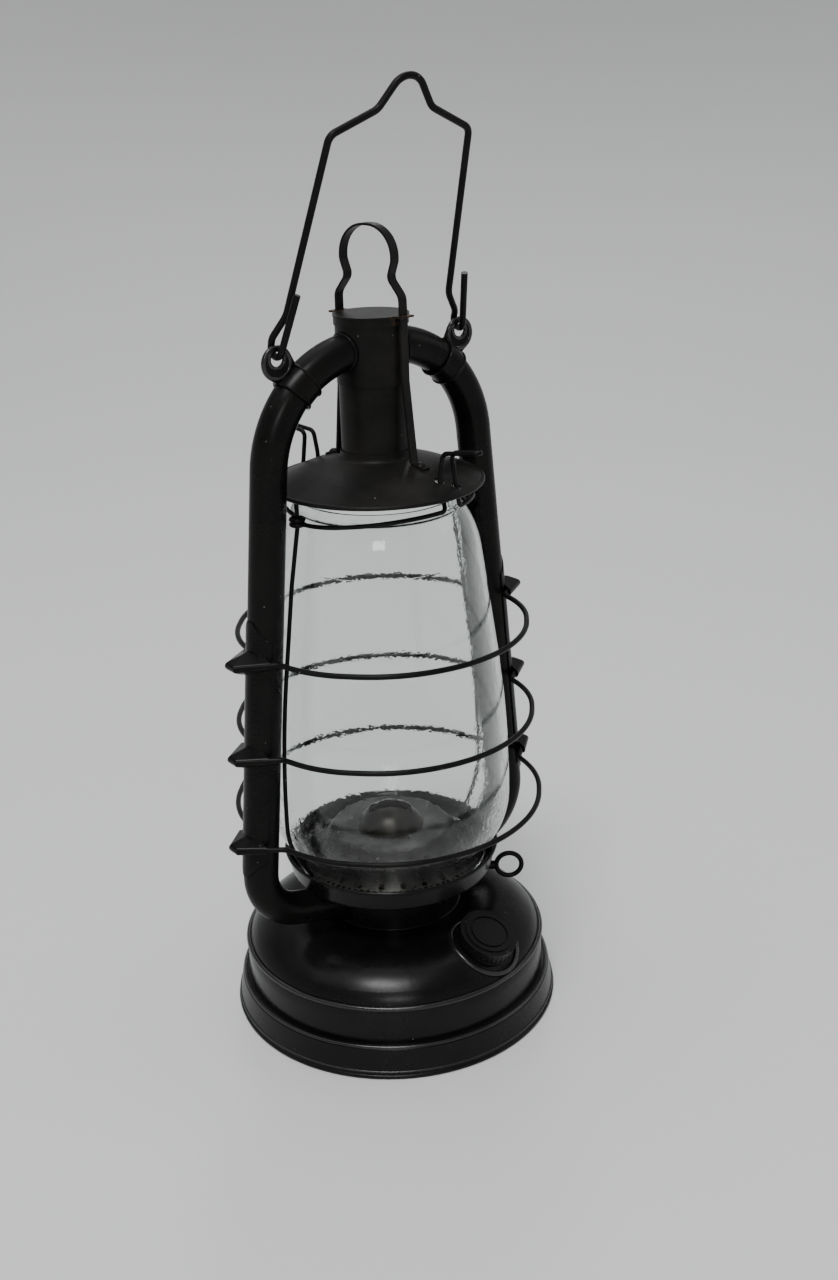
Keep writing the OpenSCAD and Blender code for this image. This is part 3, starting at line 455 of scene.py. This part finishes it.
# %% [markdown]
# The globe is thick pressed glass. Its walls are a little uneven, so lines behind it look
# ragged, most of all near the foot, where the glass met the cold mould first. A thin film
# of dust dulls its gloss in patches. The walls are real and 2 mm thick. Waves cut into
# them would need a very fine mesh, so the unevenness is a bump, with waves about two
# millimetres apart and a slower, fainter sway under it. The tint halves what the glass
# mirrors face on, where it would veil the dark burner.

# %% Mix the glass
globe_glass, tree, shader, place = new_finish("globe_glass")
shader.inputs["Base Color"].default_value = (0.93, 0.955, 0.945, 1)
shader.inputs["Transmission Weight"].default_value = 1.0
shader.inputs["IOR"].default_value = 1.47
shader.inputs["Specular Tint"].default_value = (0.5, 0.5, 0.5, 1)
film = noise(tree, place, 30, detail=6, roughness=0.6)
tree.links.new(ranged(tree, film, 0.5, 0.8, 0.0, 0.02), shader.inputs["Roughness"])
globe_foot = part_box("globe")[0].z
high = add(tree, "ShaderNodeSeparateXYZ", Vector=place).outputs["Z"]
uneven = ranged(tree, high, globe_foot + 0.022, globe_foot + 0.045, 1.0, 0.14)
waves = math_node(tree, "MULTIPLY", noise(tree, place, 430, detail=2), uneven)
ripple = bumped(tree, waves, 0.45, 0.0005)
sway = bumped(tree, noise(tree, place, 40, detail=1), 0.05, 0.0010, ripple)
tree.links.new(sway, shader.inputs["Normal"])
print("globe's foot in mm:", round(globe_foot * 1000, 1))

# %% [markdown]
# Cork seals the filler. It is a warm brown with dark pores, which are also sunk a little.
# It shows only when the cap is off, so one noise does for both.

# %% Mix the cork
cork, tree, shader, place = new_finish("cork_seal")
pores = noise(tree, place, 900, detail=5)
tree.links.new(
    blended(tree, ranged(tree, pores, 0.4, 0.6, 0, 1), (0.10, 0.05, 0.025, 1), (0.36, 0.23, 0.12, 1)),
    shader.inputs["Base Color"],
)
tree.links.new(bumped(tree, pores, 0.6, 0.0003), shader.inputs["Normal"])
shader.inputs["Roughness"].default_value = 0.9
print("gasket finish:", cork.name)

# %% [markdown]
# The cap on the head has lost varnish round its two lugs, where the strap rubs, and rusts
# there. Its finish is the heated black with a rust that is strongest near the two slots. A
# mask could be painted by hand, but how near a point is to a lug says the same.

# %% Mix the rusted cap
LUG_DIRECTION = math.radians(-77)
LUG_REACH = 0.0177
RUST_FULL = 0.002
RUST_ENDS = 0.0075
cap_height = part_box("canopy_cap")[1].z
rusted_cap, tree, shader, place = variant(heated_black, "rusted_cap")
base = shader.inputs["Base Color"].links[0].from_socket
flakes = noise(tree, place, 420, detail=6, roughness=0.7)
shares = []
for side in (1, -1):
    lug = (
        side * LUG_REACH * math.cos(LUG_DIRECTION),
        side * LUG_REACH * math.sin(LUG_DIRECTION),
        cap_height,
    )
    away = add(tree, "ShaderNodeVectorMath", {"operation": "DISTANCE"})
    tree.links.new(place, away.inputs[0])
    away.inputs[1].default_value = lug
    shares.append(ranged(tree, away.outputs["Value"], RUST_FULL, RUST_ENDS, 1, 0))
near = math_node(tree, "MAXIMUM", *shares)
rust = math_node(tree, "MULTIPLY", near, ranged(tree, flakes, 0.46, 0.60, 0, 0.8))
tree.links.new(blended(tree, rust, base, (0.095, 0.050, 0.024, 1)), shader.inputs["Base Color"])
print("cap height in mm:", round(cap_height * 1000, 1))

# %% [markdown]
# Each node of the frame now gets its finish by name, so that every piece of the real lamp
# has the metal or varnish it is made of. A node keeps its mesh, and only the material in
# its slot changes.

# %% Give the frame its finishes
finish_of = {
    fount_black: ["base_skirt", "fount_shell", "filler_neck", "filler_cap", "air_chamber", "gallery_pan"],
    tube_black: [
        "left_air_tube", "right_air_tube", "left_guard_strip", "right_guard_strip",
        "left_bail_ear", "right_bail_ear",
    ],
    heated_black: ["canopy_head", "chimney_tube", "hood", "lift_strap"],
    rusted_cap: ["canopy_cap"],
    wire_black: [
        "guard_ring_upper", "guard_ring_middle", "guard_ring_lower", "front_cradle_bow",
        "back_cradle_bow", "left_cradle_leg", "right_cradle_leg", "cradle_bottom_ring", "bail", "wick_key",
        "strap_rivets",
    ],
    deck_steel: ["fount_bottom", "wick_spindle", "feed_wheels"],
    deck_plate: ["perforated_plate"],
    browned_brass: ["burner_dome", "burner_collar", "burner_plug", "wick_tube", "spindle_bush"],
    plain_steel: ["return_spring"],
    globe_glass: ["globe"],
    cork: ["cap_gasket"],
}
for finish, names in finish_of.items():
    for name in names:
        slots = nodes[name].material_slots
        if not slots:
            nodes[name].data.materials.append(finish)
        for slot in slots:
            slot.material = finish
print("nodes finished:", sum(len(names) for names in finish_of.values()))

# %% [markdown]
# The wick is a flat band of woven cotton. The frame holds a plain bar for it, so a woven
# band takes its place: a thin block, cut into a fine grid whose crossings stand proud in
# turn, with a slightly ragged top edge. Single threads would be finer, but inside the
# burner nobody would see them.

# %% Weave the wick
WICK_TURN = math.radians(-37)
WICK_WIDTH = 0.016
WICK_THICKNESS = 0.0022
WEAVE = 0.0011
THREAD_RELIEF = 0.00007
FRAY_WAVES = 2900
FRAY_DEPTH = 0.0004
FRAY_DROP = 0.0002
wick_low, wick_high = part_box("wick")
wick_length = wick_high.z - wick_low.z
shape = bmesh.new()
bmesh.ops.create_cube(shape, size=1)
bmesh.ops.scale(shape, vec=(WICK_WIDTH, WICK_THICKNESS, wick_length), verts=shape.verts)
upright = [e for e in shape.edges if abs(e.verts[0].co.z - e.verts[1].co.z) > wick_length / 2]
bmesh.ops.subdivide_edges(shape, edges=upright, cuts=int(wick_length / WEAVE), use_grid_fill=True)
level = [e for e in shape.edges if abs(e.verts[0].co.x - e.verts[1].co.x) > WICK_WIDTH / 2]
bmesh.ops.subdivide_edges(shape, edges=level, cuts=int(WICK_WIDTH / WEAVE), use_grid_fill=True)
for vert in shape.verts:
    column = round(vert.co.x / WEAVE)
    row = round(vert.co.z / WEAVE)
    if abs(vert.co.y) > WICK_THICKNESS / 4:
        proud = 1 if (column + row) % 2 else -1
        vert.co.y += math.copysign(THREAD_RELIEF, vert.co.y) * proud
    if vert.co.z > wick_length / 2 - WEAVE / 2:
        vert.co.z -= FRAY_DEPTH * abs(math.sin(vert.co.x * FRAY_WAVES)) + FRAY_DROP
bmesh.ops.rotate(shape, matrix=Matrix.Rotation(WICK_TURN, 3, "Z"), verts=shape.verts)
bmesh.ops.translate(shape, vec=(0, 0, (wick_low.z + wick_high.z) / 2), verts=shape.verts)
wick = new_object("woven_wick", shape)
print("wick in mm:", round(wick_length * 1000, 1), "faces:", len(wick.data.polygons))

# %% [markdown]
# The cotton is off-white, and charred black for the last few millimetres under its top.
# The char's edge wanders, so a noise is added to the height before it is read.

# %% Finish the wick
CHAR_START = 0.0045
CHAR_FULL = 0.001
CHAR_WANDER = 0.003
cotton, tree, shader, place = new_finish("cotton_wick")
threads = noise(tree, place, 1400, detail=3)
high = add(tree, "ShaderNodeSeparateXYZ", Vector=place).outputs["Z"]
ragged = math_node(tree, "ADD", high, math_node(tree, "MULTIPLY", noise(tree, place, 260), CHAR_WANDER))
char = ranged(tree, ragged, wick_high.z - CHAR_START, wick_high.z - CHAR_FULL, 0, 1)
yarn = blended(tree, threads, (0.42, 0.36, 0.27, 1), (0.62, 0.56, 0.45, 1))
tree.links.new(blended(tree, char, yarn, (0.012, 0.011, 0.010, 1)), shader.inputs["Base Color"])
tree.links.new(bumped(tree, threads, 0.6, 0.0002), shader.inputs["Normal"])
shader.inputs["Roughness"].default_value = 0.95
wick.data.materials.append(cotton)
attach(wick, "wick_body")
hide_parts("wick")
print("charred from", round((wick_high.z - CHAR_START) * 1000, 1), "mm up")

# %% [markdown]
# Where two sheets are soldered together a low round seam of solder shows under the
# varnish. Each seam follows the line where one shape goes into the other, so the points of
# that line are worked out first. A curve with a round section could follow them. Here a
# small ring of corners is set at each point, square to the line, and every ring is bridged
# to the next, so that a seam is a mesh like every other piece. The same function draws the
# beads and the spring further down.


# %% Run the solder seams
def round_bead(name, path, radius, body, finish, closed=True, sides=8):
    """A round bead or wire along the points of a path, which may close on itself."""
    shape = bmesh.new()
    rings = []
    last = len(path) - 1
    for index, middle in enumerate(path):
        before = path[index - 1] if closed or index > 0 else middle
        after = path[(index + 1) % len(path)] if closed or index < last else middle
        turn = (after - before).normalized().to_track_quat("Z", "Y").to_matrix().to_4x4()
        made = bmesh.ops.create_circle(
            shape,
            segments=sides,
            radius=radius,
            cap_ends=not closed and index in (0, last),
            matrix=Matrix.Translation(middle) @ turn,
        )
        rings.append({edge for vert in made["verts"] for edge in vert.link_edges})
    following = rings[1:] + rings[:1] if closed else rings[1:]
    for first, second in zip(rings, following):
        bmesh.ops.bridge_loops(shape, edges=list(first | second))
    made = new_object(name, shape)
    made.data.materials.append(finish)
    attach(made, body)
    return made


def entry_line(corner, slope, tube, drum, side, count=48):
    """Where a side tube, sloping through the (reach, height) corner, meets an upright drum."""
    points = []
    for step in range(count):
        angle = 2 * math.pi * step / count
        y = tube * math.cos(angle)
        lift = tube * math.sin(angle)
        x = math.sqrt(drum**2 - y**2)
        run = (corner[0] + lift * math.sin(slope) - x) / math.cos(slope)
        z = corner[1] + lift * math.cos(slope) + run * math.sin(slope)
        points.append(Vector((side * x, y, z)))
    return points


TUBE_RADIUS = 0.008
HEAD_SEAM_RADIUS = 0.0165
CHAMBER_SEAM_RADIUS = 0.0332
UPPER_CORNER = (0.0531, 0.3155)
UPPER_SLOPE = math.radians(10)
LOWER_CORNER = (0.0774, 0.0721)
LOWER_SLOPE = math.radians(-16)
THIN_SOLDER = 0.0009
THICK_SOLDER = 0.0010
for word, side in (("left", -1), ("right", 1)):
    at_head = entry_line(UPPER_CORNER, UPPER_SLOPE, TUBE_RADIUS, HEAD_SEAM_RADIUS, side)
    round_bead(word + "_head_solder", at_head, THIN_SOLDER, "lamp", tube_black)
    at_chamber = entry_line(LOWER_CORNER, LOWER_SLOPE, TUBE_RADIUS, CHAMBER_SEAM_RADIUS, side)
    round_bead(word + "_chamber_solder", at_chamber, THICK_SOLDER, "lamp", tube_black)
    print(word, "seams at heights in mm:", round(at_head[0].z * 1000, 1), round(at_chamber[0].z * 1000, 1))

# %% [markdown]
# The filler's neck stands square to the dome, which is curved both ways. A flat ring would
# leave gaps there, so the foot of the neck is searched for along the neck's wall at each
# angle: the search halves the stretch that holds the dome until the point is on it.

# %% Solder the filler neck
FILLER_TURN = math.radians(-80)
FILLER_TILT = math.radians(23.4344)
FILLER_REACH = 0.0585
FILLER_HEIGHT = 0.046811
NECK_SEAM_RADIUS = 0.0122
DOME_RADIUS = 0.0326
WALL_BELOW = 0.012
WALL_ABOVE = 0.004
HALVINGS = 24
outward = Vector((math.cos(FILLER_TURN), math.sin(FILLER_TURN), 0))
across = Vector((-math.sin(FILLER_TURN), math.cos(FILLER_TURN), 0))
filler_axis = math.sin(FILLER_TILT) * outward + math.cos(FILLER_TILT) * Vector((0, 0, 1))
filler_foot = FILLER_REACH * outward + Vector((0, 0, FILLER_HEIGHT))
dome_centre = (
    FILLER_REACH - DOME_RADIUS * math.sin(FILLER_TILT),
    FILLER_HEIGHT - DOME_RADIUS * math.cos(FILLER_TILT),
)
down_slope = across.cross(filler_axis)


def outside_dome(point):
    """How far a point lies outside the round of the fount's dome."""
    out = math.hypot(point.x, point.y) - dome_centre[0]
    return math.hypot(out, point.z - dome_centre[1]) - DOME_RADIUS


def ring_on_dome(reach, count=48):
    """The line on the dome at this distance from the filler's axis."""
    points = []
    for step in range(count):
        angle = 2 * math.pi * step / count
        wall = filler_foot + reach * (math.cos(angle) * across + math.sin(angle) * down_slope)
        low, high = -WALL_BELOW, WALL_ABOVE
        for halving in range(HALVINGS):
            middle = (low + high) / 2
            if outside_dome(wall + middle * filler_axis) > 0:
                high = middle
            else:
                low = middle
        points.append(wall + low * filler_axis)
    return points


neck_line = ring_on_dome(NECK_SEAM_RADIUS)
round_bead("neck_solder", neck_line, THICK_SOLDER, "lamp", fount_black)
print("neck seam from", round(min(p.z for p in neck_line) * 1000, 1), "mm up")

# %% [markdown]
# The dome is pressed up into a low ridge round the filler, to stiffen the hole. It could
# be raised out of the fount's sheet, but a wider ring on the same dome shows the same, as
# only its upper half is seen.

# %% Press the ridge round the filler
RIDGE_REACH = 0.0166
RIDGE_RADIUS = 0.0014
ridge_line = ring_on_dome(RIDGE_REACH, count=64)
round_bead("filler_ridge", ridge_line, RIDGE_RADIUS, "lamp", rubbed_black)
print("ridge from", round(min(p.z for p in ridge_line) * 1000, 1), "mm up")

# %% [markdown]
# Where the fount's wall turns into its dome the two sheets are folded together, and the
# skirt has a bead at its top and one above its foot. Each shows as a thin bright line. A
# bright stripe in the finish wouldn't catch the light, so each is a real, low bead.

# %% Bead the fount and the skirt
# Each bead's name goes with its distance from the axis, its height and its thickness.
BEADS = {
    "shoulder_bead": (0.0729, 0.0338, 0.0013),
    "skirt_top_bead": (0.0758, 0.0149, 0.0010),
    "skirt_foot_bead": (0.0789, 0.0036, 0.0006),
}


def hoop(radius, height, count=144):
    """A level ring of points round the lamp's axis."""
    turns = [2 * math.pi * step / count for step in range(count)]
    return [Vector((radius * math.cos(turn), radius * math.sin(turn), height)) for turn in turns]


for name, (reach, height, thick) in BEADS.items():
    round_bead(name, hoop(reach, height), thick, "lamp", rubbed_black)
print("beads:", ", ".join(BEADS))

# %% [markdown]
# The ears' bands are rolled at both edges, so that they grip the tube. A thin bead runs
# round the tube at each edge. The tube is bent there, so the band's place is given on the
# bend's arc, and the left side is a mirror of the right.

# %% Roll the band edges
BAND_STEPS = 40
ARC_CENTRE = Vector((0.00739, 0, 0.27310))
ARC_RADIUS = 0.0497
BAND_MIDDLE = math.radians(49.57)
BAND_HALF = math.radians(5)
BAND_SHEET = 0.00085
BAND_EDGE = 0.0006
for word, side in (("left", -1), ("right", 1)):
    for edge, offset in (("upper", BAND_HALF), ("lower", -BAND_HALF)):
        angle = BAND_MIDDLE + offset
        upward = Vector((math.cos(angle), 0, math.sin(angle)))
        middle = ARC_CENTRE + ARC_RADIUS * upward
        loop = []
        for step in range(BAND_STEPS):
            turn = 2 * math.pi * step / BAND_STEPS
            spoke = math.cos(turn) * upward + math.sin(turn) * Vector((0, 1, 0))
            point = middle + (TUBE_RADIUS + BAND_SHEET) * spoke
            loop.append(Vector((side * point.x, point.y, point.z)))
        round_bead(word + "_band_edge_" + edge, loop, BAND_EDGE, "lamp", tube_black)
        print(word, edge, "band edge from", round(min(point.z for point in loop) * 1000, 1), "mm up")

# %% [markdown]
# The ears are sheet folded over at the rim and turned back round the hole, so that the
# bail's wire doesn't cut through. A bead follows each edge on the middle of the sheet. It
# keeps nearer to the bail's axis than the hook's wire does, so the bail still swings.

# %% Fold the ears' edges
EAR_CENTRE = Vector((0.0493, 0, 0.3223))
HOLE_CENTRE = EAR_CENTRE + Vector((0, 0, 0.0017))
EAR_STEPS = 40
RIM_REACH = 0.0065
RIM_RADIUS = 0.0011
LIP_REACH = 0.0039
LIP_RADIUS = 0.0009
edges = (
    ("rim", EAR_CENTRE, RIM_REACH, RIM_RADIUS),
    ("hole_lip", HOLE_CENTRE, LIP_REACH, LIP_RADIUS),
)
for word, side in (("left", -1), ("right", 1)):
    for edge, centre, reach, thick in edges:
        loop = []
        for step in range(EAR_STEPS):
            turn = 2 * math.pi * step / EAR_STEPS
            point = centre + reach * Vector((math.cos(turn), 0, math.sin(turn)))
            loop.append(Vector((side * point.x, point.y, point.z)))
        round_bead(word + "_ear_" + edge, loop, thick, "lamp", rubbed_black)
print("ears' edges folded:", 2 * len(edges))

# %% [markdown]
# The return spring in the head is pressed together when the hood rises. The frame's own
# coil is rigid, so a coil of the same size takes its place.

# %% Coil the return spring
SPRING_TURNS = 5
STEPS_A_TURN = 24
SPRING_WIRE = 0.001
spring_low, spring_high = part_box("return_spring")
spring_length = spring_high.z - spring_low.z
coil_radius = spring_high.x - SPRING_WIRE / 2
coil = []
for step in range(SPRING_TURNS * STEPS_A_TURN + 1):
    turn = 2 * math.pi * step / STEPS_A_TURN
    rise = (spring_length - SPRING_WIRE) * step / (SPRING_TURNS * STEPS_A_TURN)
    height = spring_low.z + SPRING_WIRE / 2 + rise
    coil.append(Vector((coil_radius * math.cos(turn), coil_radius * math.sin(turn), height)))
spring = round_bead(
    "pressed_spring",
    coil,
    SPRING_WIRE / 2,
    "lamp",
    plain_steel,
    closed=False,
)
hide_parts("return_spring")
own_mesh(spring)

# %% [markdown]
# Soft studio light. A panel high over the camera makes the broad highlight on the fount,
# and a small one lower down gives the thin glints on glass and beads. A weak one from the
# right opens the shadows, one behind models the far side, and a wide one overhead lights
# the sweep. Sun lamps would be simpler, but their mirror image in varnish is a mere dot.
# The surround stands for pale walls, and it is darker on the side where the camera stands,
# as a room is behind a photographer. Black varnish and clear glass mirror that side, so it
# keeps the blacks deep.


# %% Light the lamp
LIGHT_AIM = Vector((0, 0, 0.2))
CAMERA_SIDE = (-0.6, -0.8, 0.0)
PALE_WALLS = 0.48
DIM_SIDE = 0.13


def panel(name, place, size, power, tint):
    """A rectangular area light that looks at the lamp's globe."""
    light = bpy.data.lights.new(name, "AREA")
    light.shape = "RECTANGLE"
    light.size, light.size_y = size
    light.energy = power
    light.color = tint
    hung = bpy.data.objects.new(name, light)
    bpy.context.scene.collection.objects.link(hung)
    aim = LIGHT_AIM - Vector(place)
    hung.matrix_world = Matrix.Translation(place) @ aim.to_track_quat("-Z", "Y").to_matrix().to_4x4()


panel("key_panel", (-0.76, -0.56, 2.17), size=(0.75, 0.45), power=33, tint=(0.99, 0.99, 1.0))
panel("glint_panel", (-1.17, -1.50, 1.30), size=(0.50, 0.30), power=8, tint=(1.0, 1.0, 1.0))
panel("side_panel", (1.6, -0.9, 1.3), size=(1.0, 1.0), power=3, tint=(0.97, 0.98, 1.0))
panel("back_panel", (1.15, 1.35, 1.75), size=(0.5, 0.5), power=9, tint=(0.98, 0.99, 1.0))
panel("top_panel", (-0.3, 0.5, 3.4), size=(4.0, 4.0), power=52, tint=(1.0, 1.0, 1.0))
world = bpy.data.worlds.new("studio_surround")
bpy.context.scene.world = world
world.use_nodes = True
surround = world.node_tree.nodes["Background"]
surround.inputs["Color"].default_value = (0.96, 0.97, 1.0, 1)
look = add(world.node_tree, "ShaderNodeTexCoord").outputs["Generated"]
facing = add(world.node_tree, "ShaderNodeVectorMath", {"operation": "DOT_PRODUCT"})
world.node_tree.links.new(look, facing.inputs[0])
facing.inputs[1].default_value = CAMERA_SIDE
strength = ranged(
    world.node_tree,
    facing.outputs["Value"],
    low=-0.3,
    high=0.7,
    to_low=PALE_WALLS,
    to_high=DIM_SIDE,
)
world.node_tree.links.new(strength, surround.inputs["Strength"])
print("lights:", ", ".join(light.name for light in bpy.data.lights))
